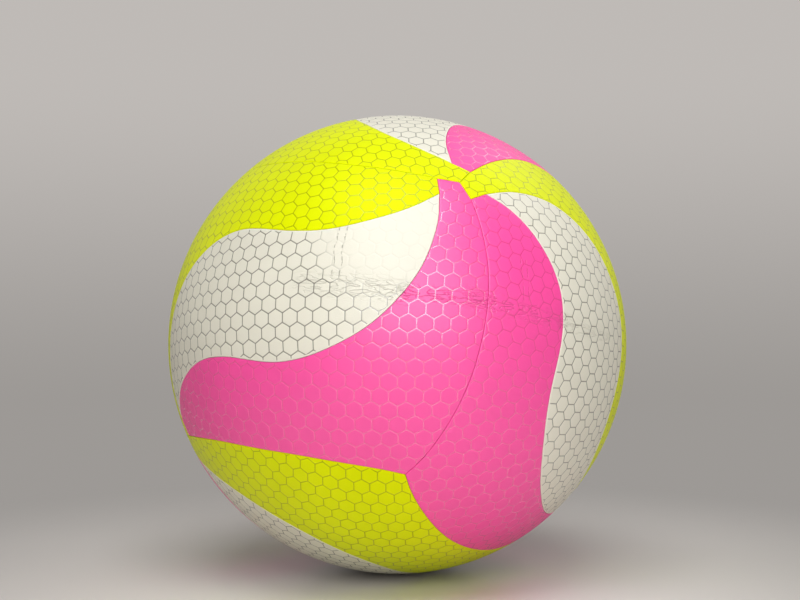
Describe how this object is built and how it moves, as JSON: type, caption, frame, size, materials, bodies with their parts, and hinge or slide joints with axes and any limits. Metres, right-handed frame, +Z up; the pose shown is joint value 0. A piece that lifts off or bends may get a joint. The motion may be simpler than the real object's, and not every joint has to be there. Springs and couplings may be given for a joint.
{
  "type": "volleyball",
  "caption": "Inflated indoor volleyball with a cover of swirling strip panels in pink, white and yellow, honeycomb grain, and a needle valve.",
  "frame": {"origin": "centre of the ball", "axes": "+Z up as the ball lies in the picture, -Y towards the viewer, +X to the viewer's right"},
  "size_m": [0.21, 0.21, 0.21],
  "materials": {
    "pink_skin": "matt polyurethane microfibre with honeycomb grain",
    "white_skin": "matt polyurethane microfibre with honeycomb grain",
    "yellow_skin": "matt polyurethane microfibre with honeycomb grain",
    "foam": "fine closed-cell foam",
    "carcass": "moulded",
    "winding": "wound nylon thread set in latex",
    "bladder": "satin",
    "valve_seat": "moulded",
    "valve_plug": "moulded"
  },
  "bodies": {
    "root": {"skin_front_right_pink": "pink_skin", "skin_front_right_white": "white_skin", "skin_front_right_yellow": "yellow_skin", "skin_front_left_pink": "pink_skin", "skin_front_left_white": "white_skin", "skin_front_left_yellow": "yellow_skin", "skin_bottom_yellow": "yellow_skin", "skin_bottom_white": "white_skin", "skin_bottom_pink": "pink_skin", "skin_top_yellow": "yellow_skin", "skin_top_white": "white_skin", "skin_top_pink": "pink_skin", "skin_back_right_yellow": "yellow_skin", "skin_back_right_white": "white_skin", "skin_back_right_pink": "pink_skin", "skin_back_left_pink": "pink_skin", "skin_back_left_white": "white_skin", "skin_back_left_yellow": "yellow_skin", "pad_front_right_pink": "foam", "pad_front_right_white": "foam", "pad_front_right_yellow": "foam", "pad_front_left_pink": "foam", "pad_front_left_white": "foam", "pad_front_left_yellow": "foam", "pad_bottom_yellow": "foam", "pad_bottom_white": "foam", "pad_bottom_pink": "foam", "pad_top_yellow": "foam", "pad_top_white": "foam", "pad_top_pink": "foam", "pad_back_right_yellow": "foam", "pad_back_right_white": "foam", "pad_back_right_pink": "foam", "pad_back_left_pink": "foam", "pad_back_left_white": "foam", "pad_back_left_yellow": "foam", "carcass": "carcass", "winding": "winding", "bladder": "bladder", "valve_housing": "valve_seat", "valve_core": "valve_plug"}
  },
  "joints": []
}
